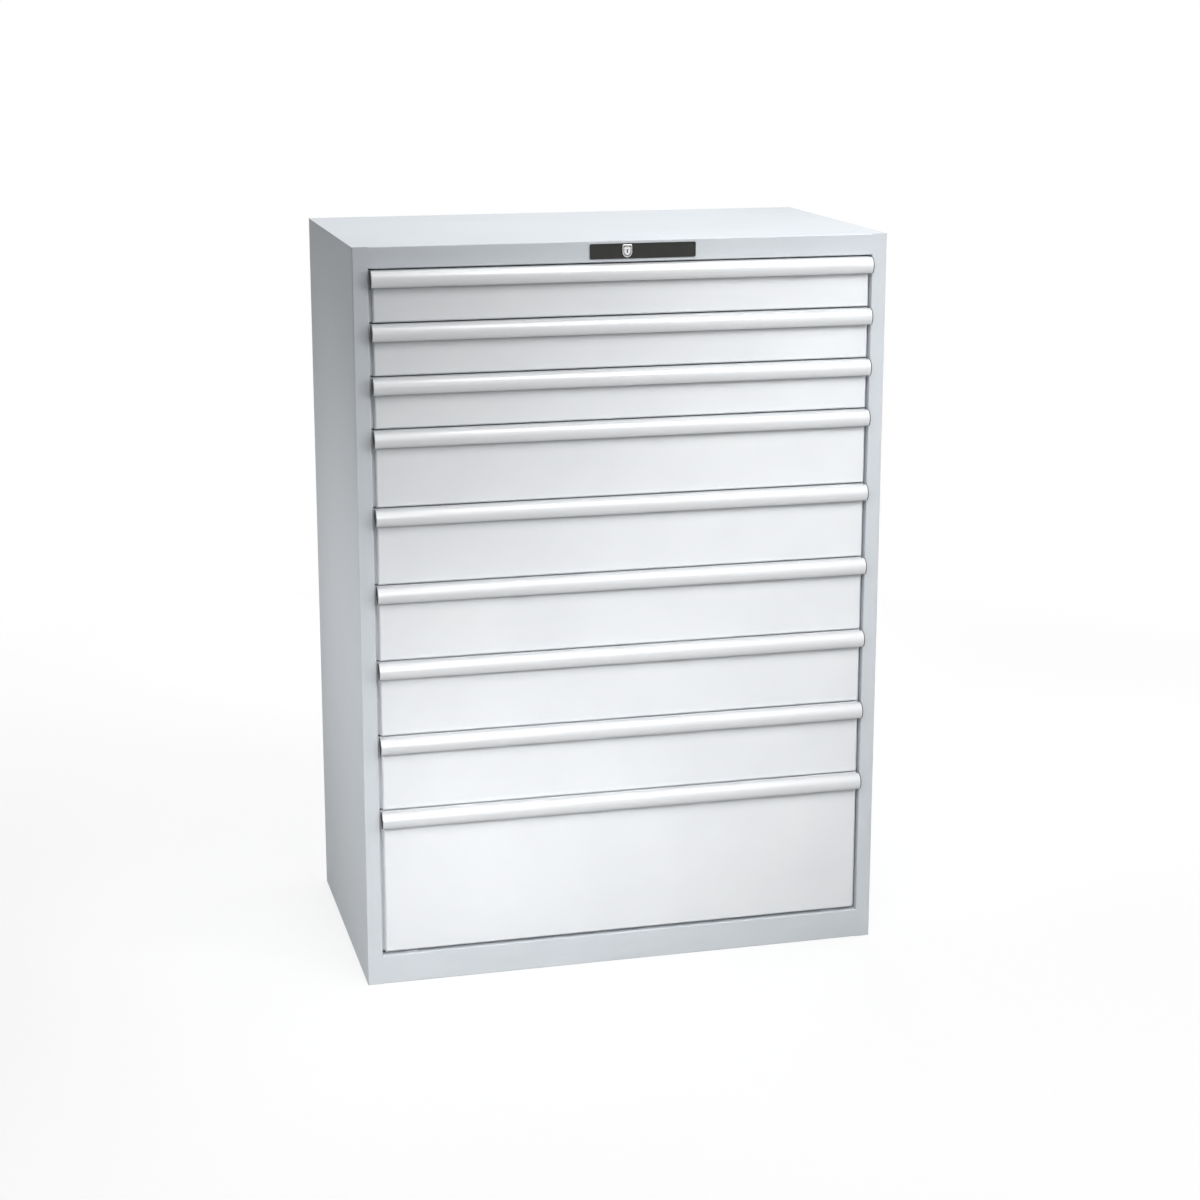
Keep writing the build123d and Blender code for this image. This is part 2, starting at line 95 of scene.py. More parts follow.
def begin(name):
    """Names the primitive that was just added, puts its place into its mesh and opens it."""
    piece = bpy.context.object
    piece.name = piece.data.name = name
    bpy.ops.object.transform_apply(location=True, rotation=True, scale=True)
    bpy.ops.object.mode_set(mode="EDIT")
    return piece


def box(name, low, high):
    """A block between two corners, open in edit mode."""
    deselect_all()
    low, high = Vector(low), Vector(high)
    bpy.ops.mesh.primitive_cube_add(size=1, location=(low + high) / 2, scale=high - low)
    return begin(name)


print("helpers to start a piece are ready")

# %% [markdown]
# Inside edit mode, faces and edges are picked by where they are or which way they look, which is
# what a modeller's mouse would do. Each test is a function that says yes or no to one face or edge,
# and two tests can be joined into one.

# %% Pick faces and edges
same_place = 1e-5
same_way = 0.99
x_axis, y_axis, z_axis = range(3)
to_front, to_back = Vector((0, -1, 0)), Vector((0, 1, 0))


def pick(piece, kind, test):
    """Selects the edges or faces that pass the test, and says how many there are."""
    bpy.ops.mesh.select_mode(type=kind)
    bpy.ops.mesh.select_all(action="DESELECT")
    shape = bmesh.from_edit_mesh(piece.data)
    parts = {"EDGE": shape.edges, "FACE": shape.faces}[kind]
    for part in parts:
        part.select_set(test(part))
    shape.select_flush_mode()
    bmesh.update_edit_mesh(piece.data)
    return sum(part.select for part in parts)


def close_to(value, target):
    """Whether two places along an axis are the same."""
    return abs(value - target) < same_place


def edge_at(axis, value):
    """A test for edges that lie at one place along an axis."""
    return lambda edge: all(close_to(v.co[axis], value) for v in edge.verts)


def edge_along_y(edge):
    """A test for edges that run front to back."""
    return abs((edge.verts[0].co - edge.verts[1].co).normalized().y) > same_way


def face_towards(direction):
    """A test for faces that look one way."""
    return lambda face: face.normal.dot(direction) > same_way


def both(first, second):
    """A test that asks for two tests at once."""
    return lambda part: first(part) and second(part)


print("tests for edges and faces are ready")

# %% [markdown]
# What is picked can be pulled out of the mesh. At the end of a piece, modifiers are applied one by
# one, and curved faces are shaded smooth while corners stay sharp.

# %% Shape and finish a piece
smooth_below = radians(30)


def extrude(move):
    """Pulls what is picked out of the mesh, by a move."""
    bpy.ops.mesh.extrude_region_move(TRANSFORM_OT_translate={"value": move})


def apply_modifier(piece, kind, **settings):
    """Adds one modifier with these settings and applies it."""
    if piece.mode != "OBJECT":
        bpy.ops.object.mode_set(mode="OBJECT")
    modifier = piece.modifiers.new(kind.lower(), kind)
    for key, value in settings.items():
        setattr(modifier, key, value)
    bpy.ops.object.modifier_apply(modifier=modifier.name)


def finish_mesh():
    """Closes edit mode and shades the curved faces of what is selected smooth."""
    bpy.ops.object.mode_set(mode="OBJECT")
    bpy.ops.object.shade_smooth_by_angle(angle=smooth_below)


def copy_of(piece, name, move):
    """A copy with a mesh of its own, shifted inside that mesh."""
    twin = piece.copy()
    twin.data = piece.data.copy()
    twin.name = twin.data.name = name
    twin.data.transform(Matrix.Translation(move))
    bpy.context.scene.collection.objects.link(twin)
    return twin


print("helpers to shape and finish a piece are ready")

# %% [markdown]
# ## Camera
# The picture shows the cabinet from its left front and a little above its top. The camera's place
# was worked out from the corners of the housing, and a small vertical shift keeps the object where
# it stands in the frame without bending the other views much.

# %% Place the camera
camera_place = (-1.1682, -4.6563, 1.9125)
camera_turn = radians(-14.324)
camera_tilt = radians(12.979)
sensor_mm = 36
lens_mm = 71.809
frame_shift = -0.05
level = pi / 2
deselect_all()
bpy.ops.object.camera_add(location=camera_place, rotation=(level - camera_tilt, 0, camera_turn))
camera = bpy.context.object
camera.data.sensor_width = sensor_mm
camera.data.lens = lens_mm
camera.data.shift_y = frame_shift
bpy.context.scene.camera = camera
bpy.context.scene.view_settings.view_transform = "Standard"
print("camera at", [round(x, 3) for x in camera.location])

# %% [markdown]
# ## Small helpers for node trees
# Materials and the world are built from nodes. These helpers add a node with its inputs set, move a
# value from one range to another, join two values by a sum, and join two shaders by a share.


# %% Add and join nodes
def add_node(tree, kind, **inputs):
    """A node with some of its inputs set."""
    node = tree.nodes.new(kind)
    for key, value in inputs.items():
        node.inputs[key].default_value = value
    return node


def clear_tree(tree):
    """A tree without the nodes that Blender starts it with."""
    tree.nodes.clear()
    return tree


def remap(tree, value, low, high, to_low, to_high):
    """A value moved from one range to another, and kept inside it."""
    node = tree.nodes.new("ShaderNodeMapRange")
    settings = {"From Min": low, "From Max": high, "To Min": to_low, "To Max": to_high}
    for socket, number in settings.items():
        node.inputs[socket].default_value = number
    tree.links.new(value, node.inputs["Value"])
    return node.outputs["Result"]


def combine(tree, operation, first, second):
    """One sum of two sockets, or of a socket and a number."""
    node = tree.nodes.new("ShaderNodeMath")
    node.operation = operation
    for socket, value in zip(node.inputs, (first, second)):
        if isinstance(value, (int, float)):
            socket.default_value = value
        else:
            tree.links.new(value, socket)
    return node.outputs[0]


def mix_shaders(tree, share, first, second):
    """A shader that goes from the first to the second as the share goes from 0 to 1."""
    node = tree.nodes.new("ShaderNodeMixShader")
    tree.links.new(share, node.inputs["Fac"])
    tree.links.new(first.outputs[0], node.inputs[1])
    tree.links.new(second.outputs[0], node.inputs[2])
    return node.outputs[0]


def put_on_surface(tree, kind, shader):
    """Ends a tree with the output node of a material or a world."""
    tree.links.new(shader, tree.nodes.new(kind).inputs["Surface"])


print("node helpers ready")

# %% [markdown]
# ## Studio
# The cabinet stands in white. A large pale floor takes the soft shadow, and rays that go straight
# from the camera, or that mirror off metal, mostly see plain white on it, the more so the further
# away they land. Rays that carry light on to the cabinet find a greyer floor, so that little of it
# bounces up under the grip strips. The world does the same: white to look at, and a quiet fill for
# the object itself.

# %% Floor
pure_white = (1, 1, 1, 1)
floor_size = 60
floor_seen_tone = 0.95
floor_bounce_tone = 0.3
floor_white_share = 0.76
whiter_from, whiter_to = 0.8, 3.0


def seen_directly(tree):
    """A mask of rays that come from the camera, a mirror or glass."""
    path = tree.nodes.new("ShaderNodeLightPath")
    mirror, glass = path.outputs["Is Glossy Ray"], path.outputs["Is Transmission Ray"]
    passed_on = combine(tree, "MAXIMUM", mirror, glass)
    return combine(tree, "MAXIMUM", path.outputs["Is Camera Ray"], passed_on)


deselect_all()
bpy.ops.mesh.primitive_plane_add(size=floor_size)
floor = bpy.context.object
floor.name = "studio_floor"
floor_paint = bpy.data.materials.new("studio_floor")
floor_paint.use_nodes = True
tree = clear_tree(floor_paint.node_tree)
seen = seen_directly(tree)
matt = tree.nodes.new("ShaderNodeBsdfDiffuse")
floor_tone = remap(tree, seen, 0, 1, floor_bounce_tone, floor_seen_tone)
tree.links.new(floor_tone, matt.inputs["Color"])
white = add_node(tree, "ShaderNodeEmission", Color=pure_white, Strength=1)
spot = tree.nodes.new("ShaderNodeTexCoord")
away = tree.nodes.new("ShaderNodeVectorMath")
away.operation = "LENGTH"
tree.links.new(spot.outputs["Object"], away.inputs[0])
whiter = remap(tree, away.outputs["Value"], whiter_from, whiter_to, floor_white_share, 1)
white_share = combine(tree, "MULTIPLY", seen, whiter)
put_on_surface(tree, "ShaderNodeOutputMaterial", mix_shaders(tree, white_share, matt, white))
floor.data.materials.append(floor_paint)
print("floor:", floor_size, "m wide")

# %% World
fill_tint = (0.97, 0.985, 1, 1)
fill_strength = 0.12
world = bpy.context.scene.world or bpy.data.worlds.new("studio")
bpy.context.scene.world = world
world.use_nodes = True
tree = clear_tree(world.node_tree)
fill = add_node(tree, "ShaderNodeBackground", Color=fill_tint, Strength=fill_strength)
backdrop = add_node(tree, "ShaderNodeBackground", Color=pure_white, Strength=1)
studio = mix_shaders(tree, seen_directly(tree), fill, backdrop)
put_on_surface(tree, "ShaderNodeOutputWorld", studio)
print("world: white, with a fill of", fill_strength)

# %% [markdown]
# The fronts are brightest along a slanting band from the lower left to the upper right, and light
# from above draws a shadow under every strip. A long soft lamp, set to that slant and gridded so
# that its light doesn't spread far, gives the band, and two smaller ones carry it into the lower
# left and the upper right corner. The key lamp stands high in front and well away, so that a drawer
# that is pulled out is lit about as a closed one. A lower lamp and one on the right open up the
# lower drawers. These two would glare in the top when it is seen from behind, so they cast no
# highlights.


# %% Lamps for the fronts
def soft_lamp(name, place, target, size, power, roll=0, spread=pi, highlights=True):
    """A rectangular lamp that faces a target, rolled about its own axis."""
    deselect_all()
    bpy.ops.object.light_add(type="AREA", location=place)
    lamp = bpy.context.object
    lamp.name = lamp.data.name = name
    lamp.data.shape = "RECTANGLE"
    lamp.data.size, lamp.data.size_y = size
    lamp.data.energy = power
    lamp.data.spread = spread
    aim = (Vector(target) - Vector(place)).to_track_quat("-Z", "Y")
    lamp.rotation_mode = "QUATERNION"
    lamp.rotation_quaternion = aim @ Matrix.Rotation(roll, 3, "Z").to_quaternion()
    lamp.visible_camera = False
    lamp.visible_glossy = highlights


soft_lamp(
    "band_lamp", place=(-0.913, -1.877, 1.945), target=(0.298, -0.286, 0.735),
    size=(2.4, 0.4), power=0.85, roll=radians(55.7), spread=radians(28),
)
soft_lamp(
    "low_left_lamp", place=(-1.4, -2.1, 1.2), target=(-0.5, -0.29, 0.1),
    size=(0.8, 1.2), power=2.2, spread=radians(45),
)
soft_lamp(
    "high_right_lamp", place=(1.1, -1.9, 2.8), target=(0.45, -0.29, 1.35),
    size=(0.7, 0.7), power=1.4, spread=radians(50),
)
soft_lamp(
    "key_lamp", place=(0.3, -2.3, 3.9), target=(0, -0.29, 0.6),
    size=(1.8, 1.2), power=34.5,
)
soft_lamp(
    "low_lamp", place=(0.1, -2.2, 1.5), target=(0.1, -0.29, 0.15),
    size=(1.2, 1.8), power=3.0, spread=radians(60), highlights=False,
)
soft_lamp(
    "right_lamp", place=(1.8, -2, 1.7), target=(0.3, -0.29, 0.4),
    size=(0.8, 1.8), power=21.5, highlights=False,
)

# %% [markdown]
# The rest of the housing has lamps of its own: one overhead, behind the fronts, for the top, one on
# the left for the middle of the side panel, and two more, below the top, for the back and the right
# side.

# %% Lamps for the housing
soft_lamp(
    "top_lamp", place=(0.1, 0.35, 3.2), target=(0, 0.1, 1.45),
    size=(2.0, 1.3), power=28,
)
soft_lamp(
    "side_lamp", place=(-1.25, 0, 0.72), target=(-0.52, 0, 0.72),
    size=(0.7, 0.2), power=2.5, roll=radians(20),
)
soft_lamp(
    "back_lamp", place=(0.3, 2.8, 0.8), target=(0, 0.3, 0.75),
    size=(1.8, 1.0), power=45,
)
soft_lamp(
    "right_side_lamp", place=(2.4, 0.7, 1.0), target=(0.52, 0, 0.72),
    size=(0.8, 0.8), power=14,
)

# %% [markdown]
# ## Finishes
# A powder coat isn't a flat colour. Close up it has a fine orange-peel skin, its gloss drifts
# slowly over a large panel, and handling leaves it a shade duller low down. Effects that several
# finishes share are node groups, built once: each puts out values that change over the surface,
# and the shader itself stays in the material.


# %% Group maker
def make_group(name, inputs, outputs):
    """An empty shader group with float inputs, float outputs and a Vector input."""
    group = bpy.data.node_groups.new(name, "ShaderNodeTree")
    group.interface.new_socket("Vector", in_out="INPUT", socket_type="NodeSocketVector")
    for socket, value in inputs.items():
        made = group.interface.new_socket(socket, in_out="INPUT", socket_type="NodeSocketFloat")
        made.default_value = value
    for socket in outputs:
        group.interface.new_socket(socket, in_out="OUTPUT", socket_type="NodeSocketFloat")
    return group, group.nodes.new("NodeGroupInput"), group.nodes.new("NodeGroupOutput")


def noise(tree, vector, scale, detail):
    """A noise texture whose scale is a number or another socket."""
    node = add_node(tree, "ShaderNodeTexNoise", Detail=detail)
    tree.links.new(vector, node.inputs["Vector"])
    if isinstance(scale, (int, float)):
        node.inputs["Scale"].default_value = scale
    else:
        tree.links.new(scale, node.inputs["Scale"])
    return node.outputs["Fac"]


def stretched_noise(tree, vector, scales, detail):
    """Noise with a scale of its own along each axis."""
    node = add_node(tree, "ShaderNodeMapping", Scale=scales)
    tree.links.new(vector, node.inputs["Vector"])
    return noise(tree, node.outputs["Vector"], 1.0, detail)


def full_range(tree, value, low=0.3, high=0.7):
    """Noise keeps near its middle; this spreads it over the whole of 0 to 1."""
    return remap(tree, value, low, high, 0, 1)


def blend(tree, first, first_share, second, second_share):
    """The sum of two values, each times its share."""
    first_part = combine(tree, "MULTIPLY", first, first_share)
    second_part = combine(tree, "MULTIPLY", second, second_share)
    return combine(tree, "ADD", first_part, second_part)


print("group helpers ready")

# %% [markdown]
# The coat's skin has two sizes of ripple: the orange peel of about a millimetre and a half, and a
# fine grain inside it. A slow cloud, a hand's width across, drifts the gloss and the shade.

# %% Powder coat skin
grain_scale = 2600.0
cloud_scale = 5.0
grain_height = 0.35
coat_skin, given, put_out = make_group(
    "coat_skin", {"Peel Scale": 620.0}, ["Shade", "Gloss", "Height"]
)
where = given.outputs["Vector"]
peel = noise(coat_skin, where, given.outputs["Peel Scale"], detail=1)
grain = noise(coat_skin, where, grain_scale, detail=1)
cloud = noise(coat_skin, where, cloud_scale, detail=3)
height = combine(coat_skin, "ADD", peel, combine(coat_skin, "MULTIPLY", grain, grain_height))
coat_skin.links.new(height, put_out.inputs["Height"])
coat_skin.links.new(full_range(coat_skin, cloud), put_out.inputs["Shade"])
gloss = blend(coat_skin, cloud, 0.7, grain, 0.3)
coat_skin.links.new(full_range(coat_skin, gloss), put_out.inputs["Gloss"])
print("coat_skin:", len(coat_skin.nodes), "nodes")

# %% [markdown]
# Low down, shoes and mops dull a cabinet a little. This mask is strongest at the floor, fades out
# over a few centimetres, and is broken up by noise so that it never reads as a stripe.

# %% Floor scuffs
patch_scales = (6, 6, 40)
floor_scuff, given, put_out = make_group("floor_scuff", {"Reach": 0.09}, ["Mask"])
where = given.outputs["Vector"]
split = floor_scuff.nodes.new("ShaderNodeSeparateXYZ")
floor_scuff.links.new(where, split.inputs[0])
near_floor = combine(floor_scuff, "DIVIDE", split.outputs["Z"], given.outputs["Reach"])
fade = remap(floor_scuff, near_floor, 0, 1, 1, 0)
patches = stretched_noise(floor_scuff, where, patch_scales, detail=4)
broken_up = full_range(floor_scuff, patches, 0.4, 0.75)
mask = combine(floor_scuff, "MULTIPLY", fade, broken_up)
floor_scuff.links.new(mask, put_out.inputs["Mask"])
print("floor_scuff:", len(floor_scuff.nodes), "nodes")

# %% [markdown]
# Drawn aluminium carries fine lines along its length. They come from noise that is stretched
# nearly flat along X, in two widths.

# %% Drawn lines
broad_scales = (1.2, 700, 700)
fine_scales = (3.0, 2600, 2600)
drawn_lines, given, put_out = make_group("drawn_lines", {}, ["Shade", "Gloss", "Height"])
where = given.outputs["Vector"]
broad = stretched_noise(drawn_lines, where, broad_scales, detail=2)
fine = stretched_noise(drawn_lines, where, fine_scales, detail=1)
lines = blend(drawn_lines, broad, 0.5, fine, 0.5)
drawn_lines.links.new(full_range(drawn_lines, lines), put_out.inputs["Shade"])
drawn_lines.links.new(full_range(drawn_lines, broad), put_out.inputs["Gloss"])
drawn_lines.links.new(lines, put_out.inputs["Height"])
print("drawn_lines:", len(drawn_lines.nodes), "nodes")

# %% [markdown]
# Zinc on steel shows a faint crystal pattern under a slow haze.

# %% Zinc bloom
haze_scale = 24.0
zinc_bloom, given, put_out = make_group("zinc_bloom", {"Cell Scale": 160.0}, ["Shade", "Gloss"])
where = given.outputs["Vector"]
cells = zinc_bloom.nodes.new("ShaderNodeTexVoronoi")
zinc_bloom.links.new(where, cells.inputs["Vector"])
zinc_bloom.links.new(given.outputs["Cell Scale"], cells.inputs["Scale"])
cell_tone = zinc_bloom.nodes.new("ShaderNodeSeparateXYZ")
zinc_bloom.links.new(cells.outputs["Color"], cell_tone.inputs[0])
haze = noise(zinc_bloom, where, haze_scale, detail=3)
bloom = blend(zinc_bloom, cell_tone.outputs["X"], 0.4, haze, 0.6)
zinc_bloom.links.new(full_range(zinc_bloom, bloom, 0.2, 0.8), put_out.inputs["Shade"])
zinc_bloom.links.new(full_range(zinc_bloom, haze), put_out.inputs["Gloss"])
print("zinc_bloom:", len(zinc_bloom.nodes), "nodes")

# %% [markdown]
# Moulded plastic has an even, pebbled skin, and its shade drifts a little.

# %% Moulded skin
drift_scale = 30.0
moulded_skin, given, put_out = make_group(
    "moulded_skin", {"Pebble Scale": 1800.0}, ["Shade", "Height"]
)
where = given.outputs["Vector"]
pebbles = noise(moulded_skin, where, given.outputs["Pebble Scale"], detail=2)
drift = noise(moulded_skin, where, drift_scale, detail=2)
moulded_skin.links.new(full_range(moulded_skin, drift), put_out.inputs["Shade"])
moulded_skin.links.new(pebbles, put_out.inputs["Height"])
print("moulded_skin:", len(moulded_skin.nodes), "nodes")

# %% [markdown]
# Each finish is then a small material: the group gives it a shade, a gloss and a height, and the
# shader is set for paint, metal or plastic. Colours are written as they look, and turned into the
# linear values that the shader works with. A bump is written as its strength and its depth.


# %% Material maker
def linear(red, green, blue):
    """A colour as it looks, 0 to 255, in the linear values of the shader."""
    tones = [c / 255 for c in (red, green, blue)]
    return [c / 12.92 if c <= 0.04045 else ((c + 0.055) / 1.055) ** 2.4 for c in tones] + [1]


def add_group(tree, group, spot):
    """Places a group in a material, on Object coordinates."""
    node = tree.nodes.new("ShaderNodeGroup")
    node.node_tree = group
    tree.links.new(spot.outputs["Object"], node.inputs["Vector"])
    return node


def make_finish(name, group, dark, light, rough, bump=None, metallic=0.0, settings=None):
    """A material whose colour runs from dark to light, and whose gloss follows its group."""
    material = bpy.data.materials.new(name)
    material.use_nodes = True
    tree = clear_tree(material.node_tree)
    effect = add_group(tree, group, tree.nodes.new("ShaderNodeTexCoord"))
    shader = add_node(tree, "ShaderNodeBsdfPrincipled", Metallic=metallic, **(settings or {}))
    colour = tree.nodes.new("ShaderNodeMix")
    colour.data_type = "RGBA"
    colour.inputs["A"].default_value = linear(*dark)
    colour.inputs["B"].default_value = linear(*light)
    tree.links.new(effect.outputs["Shade"], colour.inputs["Factor"])
    tree.links.new(colour.outputs["Result"], shader.inputs["Base Color"])
    gloss = effect.outputs["Gloss" if "Gloss" in effect.outputs else "Shade"]
    tree.links.new(remap(tree, gloss, 0, 1, *rough), shader.inputs["Roughness"])
    if bump:
        strength, depth = bump
        ripple = add_node(tree, "ShaderNodeBump", Strength=strength, Distance=depth)
        tree.links.new(effect.outputs["Height"], ripple.inputs["Height"])
        tree.links.new(ripple.outputs["Normal"], shader.inputs["Normal"])
    put_on_surface(tree, "ShaderNodeOutputMaterial", shader.outputs[0])
    return material


print("material maker ready")

# %% [markdown]
# Housing, fronts and trays are coated alike, in one pale grey. The fronts' copy of it is written
# lighter than the housing's, which is painted light: it makes them brighter than the posts beside
# them. Only the housing reaches the floor, so only its colour is joined with the scuffs.

# %% Paints
peel_bump = (0.12, 0.0003)
paint_sheen = {"Specular IOR Level": 0.3}
finishes = {
    "housing_paint": make_finish(
        "housing_coat", coat_skin, dark=(206, 211, 216), light=(211, 216, 220),
        rough=(0.5, 0.58), bump=peel_bump, settings=paint_sheen,
    ),
    # painted light: the housing's grey, written lighter so that the fronts show brighter
    "front_paint": make_finish(
        "front_coat_painted_lighter", coat_skin, dark=(231, 233, 236), light=(236, 238, 240),
        rough=(0.34, 0.42), bump=peel_bump, settings=paint_sheen,
    ),
    "tray_paint": make_finish(
        "tray_coat", coat_skin, dark=(204, 208, 213), light=(210, 214, 218),
        rough=(0.4, 0.5), bump=peel_bump, settings=paint_sheen,
    ),
}
print("paints:", [m.name for m in finishes.values()])


# %% Scuffs on the housing
def add_scuffs(material, tint, strength):
    """Lets the floor's scuffs darken the colour of a finish, near the floor."""
    tree = material.node_tree
    shader = next(n for n in tree.nodes if n.type == "BSDF_PRINCIPLED")
    spot = next(n for n in tree.nodes if n.type == "TEX_COORD")
    scuffs = add_group(tree, floor_scuff, spot)
    clean = shader.inputs["Base Color"].links[0].from_socket
    worn = tree.nodes.new("ShaderNodeMix")
    worn.data_type = "RGBA"
    worn.inputs["B"].default_value = linear(*tint)
    tree.links.new(clean, worn.inputs["A"])
    share = combine(tree, "MULTIPLY", scuffs.outputs["Mask"], strength)
    tree.links.new(share, worn.inputs["Factor"])
    tree.links.new(worn.outputs["Result"], shader.inputs["Base Color"])


add_scuffs(finishes["housing_paint"], tint=(150, 150, 150), strength=0.12)
print("scuffs on", finishes["housing_paint"].name)

# %% [markdown]
# The strips are satin aluminium that mirrors only softly, the lock is plated, and the runners are
# bare zinc. Plate, end caps and floor stoppers are moulded, from near black to pale grey.

# %% Metals
finishes["grip_aluminium"] = make_finish(
    "drawn_aluminium", drawn_lines, dark=(219, 221, 223), light=(231, 232, 233),
    rough=(0.36, 0.46), bump=(0.05, 0.0001), metallic=0.3, settings={"Anisotropic": 0.3},
)
finishes["lock_metal"] = make_finish(
    "lock_plating", drawn_lines, dark=(222, 223, 224), light=(238, 239, 240),
    rough=(0.22, 0.32), bump=(0.03, 0.0001), metallic=0.6,
)
finishes["runner_steel"] = make_finish(
    "zinc_steel", zinc_bloom, dark=(150, 153, 156), light=(182, 185, 188),
    rough=(0.28, 0.42), metallic=0.85,
)
print("with metals:", list(finishes))

# %% Plastics
finishes["plate_plastic"] = make_finish(
    "plate_plastic", moulded_skin, dark=(47, 47, 46), light=(53, 53, 51),
    rough=(0.5, 0.6), bump=(0.1, 0.0002), settings={"Specular IOR Level": 0.25},
)
pebble_bump = (0.12, 0.0002)
finishes["cap_plastic"] = make_finish(
    "cap_plastic", moulded_skin, dark=(24, 24, 25), light=(30, 30, 31),
    rough=(0.45, 0.55), bump=pebble_bump,
)
finishes["stopper_plastic"] = make_finish(
    "stopper_plastic", moulded_skin, dark=(196, 200, 204), light=(204, 208, 212),
    rough=(0.5, 0.6), bump=pebble_bump,
)
print("all finishes:", list(finishes))

# %% [markdown]
# Every CAD node names its finish in the record, so one loop paints the whole frame. A piece that is
# modelled here is painted in the same way, rides on its body, and hides the CAD nodes it stands
# for.


# %% Paint the frame
def paint(piece, slot):
    """Gives a piece the finish of one slot, and no other."""
    piece.data.materials.clear()
    piece.data.materials.append(finishes[slot])


def dress(piece, slot, body, *nodes):
    """Paints a new piece, lets it ride on its body and stand for its CAD nodes."""
    paint(piece, slot)
    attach(piece, body)
    if nodes:
        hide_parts(*nodes)


for entry in frame["record"]["subparts"]:
    paint(frame["nodes"][entry["node"]], entry["material_slot"])

# %% [markdown]
# ## Grip strips
# Along the top of every front runs a drawn aluminium profile that the fingers reach under. By hand
# it starts as its flat top, a long plane. Its front edge is spun about a line to give the upper
# bulge, and spun again about a second line for the lower one, so the curve is a true arc. The back
# edge is pulled down as the foot against the front. The sheet is then given its wall, and a fine
# bevel breaks its sharp edges.

# %% Sizes of the strip
first_low, first_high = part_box("drawer_1_grip")
front_y = first_high.y
grip_x = first_high.x
strip_top = first_high.z
strip_reach = first_high.y - first_low.y
strip_height = first_high.z - first_low.z
top_reach = 0.006
lip_reach = 0.0115
crest_drop = 0.016
foot_height = 0.013
upper_bulge = strip_reach - top_reach
upper_radius = (upper_bulge**2 + crest_drop**2) / (2 * upper_bulge)
lower_bulge = strip_reach - lip_reach
lower_drop = strip_height - crest_drop
lower_radius = (lower_bulge**2 + lower_drop**2) / (2 * lower_bulge)
print("strip", round(strip_reach, 4), "by", round(strip_height, 4))
print("radii of its bulge", round(upper_radius, 4), "and", round(lower_radius, 4))

# %% Model one strip
upper_steps, lower_steps = 18, 14
merge_distance = 1e-6
deselect_all()
top_middle = (0, front_y - top_reach / 2, strip_top)
bpy.ops.mesh.primitive_plane_add(size=1, location=top_middle)
strip = begin("drawer_1_strip")
bpy.ops.transform.resize(value=(2 * grip_x, top_reach, 1), center_override=top_middle)
pick(strip, "EDGE", edge_at(y_axis, front_y - top_reach))
crest_y, crest_z = front_y - strip_reach, strip_top - crest_drop
bpy.ops.mesh.spin(
    steps=upper_steps, angle=-asin(crest_drop / upper_radius),
    center=(0, crest_y + upper_radius, crest_z), axis=(1, 0, 0),
)
bpy.ops.mesh.spin(
    steps=lower_steps, angle=-asin(lower_drop / lower_radius),
    center=(0, crest_y + lower_radius, crest_z), axis=(1, 0, 0),
)
pick(strip, "EDGE", edge_at(y_axis, front_y))
extrude((0, 0, -foot_height))
bpy.ops.mesh.select_all(action="SELECT")
bpy.ops.mesh.remove_doubles(threshold=merge_distance)
bpy.ops.object.mode_set(mode="OBJECT")
corners = [v.co for v in strip.data.vertices]
print("strip sheet Y", min(c.y for c in corners), "to", max(c.y for c in corners))
print("strip sheet Z", min(c.z for c in corners), "to", max(c.z for c in corners))

# %% Give the strip its wall and copy it
strip_wall = 0.002
strip_edge = 0.0004
edge_from = radians(50)
apply_modifier(strip, "SOLIDIFY", thickness=strip_wall, offset=-1)
apply_modifier(
    strip, "BEVEL", width=strip_edge, segments=2, limit_method="ANGLE", angle_limit=edge_from
)
finish_mesh()
strips = [strip]
for drawer in drawers[1:]:
    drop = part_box(f"{drawer}_grip")[1].z - strip_top
    strips.append(copy_of(strip, f"{drawer}_strip", (0, 0, drop)))
for drawer, piece in zip(drawers, strips):
    dress(piece, "grip_aluminium", drawer, f"{drawer}_grip")
print("strips:", len(strips), "with", len(strip.data.polygons), "faces each")

# %% [markdown]
# ## Drawer fronts
# A front is a shallow pan folded from one sheet, with its open side to the tray. It starts as a
# block of the pan's size. The back is deleted, and the four front edges are rolled over with a
# wide bevel, which is what a press brake does to the sheet. The back edges of the two sides are
# pulled outwards as the rims that close the gaps beside the front, and the shell then gets the
# sheet's thickness.

# %% Fold nine fronts
front_sheet = 0.0012
front_bend = 0.005
bend_steps = 8
side_rim = 0.005
for drawer in drawers:
    low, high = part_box(f"{drawer}_front")
    pan_x = high.x - side_rim
    rim_y = high.y - front_sheet
    panel = box(f"{drawer}_panel", (-pan_x, low.y, low.z), (pan_x, rim_y, high.z))
    pick(panel, "FACE", face_towards(to_back))
    bpy.ops.mesh.delete(type="FACE")
    folds = pick(panel, "EDGE", edge_at(y_axis, low.y))
    bpy.ops.mesh.bevel(offset=front_bend, segments=bend_steps, affect="EDGES")
    for side in (-1, 1):
        pick(panel, "EDGE", both(edge_at(x_axis, side * pan_x), edge_at(y_axis, rim_y)))
        extrude((side * side_rim, 0, 0))
    apply_modifier(panel, "SOLIDIFY", thickness=front_sheet, offset=-1, use_even_offset=True)
    finish_mesh()
    dress(panel, "front_paint", drawer, f"{drawer}_front")
print("fronts:", len(drawers), "with", folds, "folds and", len(panel.data.polygons), "faces each")

# %% [markdown]
# ## Lock plate
# The lock sits in a long moulded plate with a thin raised rim. The plate is a block with rounded
# corners. Its face is inset by the width of the rim and pushed back, the rim's edges are softened,
# and the hole for the barrel is cut with a round bar.

# %% Cut with a tool
round_sides = 48


def round_bar(centre, radius, length):
    """Adds a round bar that runs along Y."""
    deselect_all()
    bpy.ops.mesh.primitive_cylinder_add(
        vertices=round_sides, radius=radius, depth=length, location=centre, rotation=(pi / 2, 0, 0)
    )


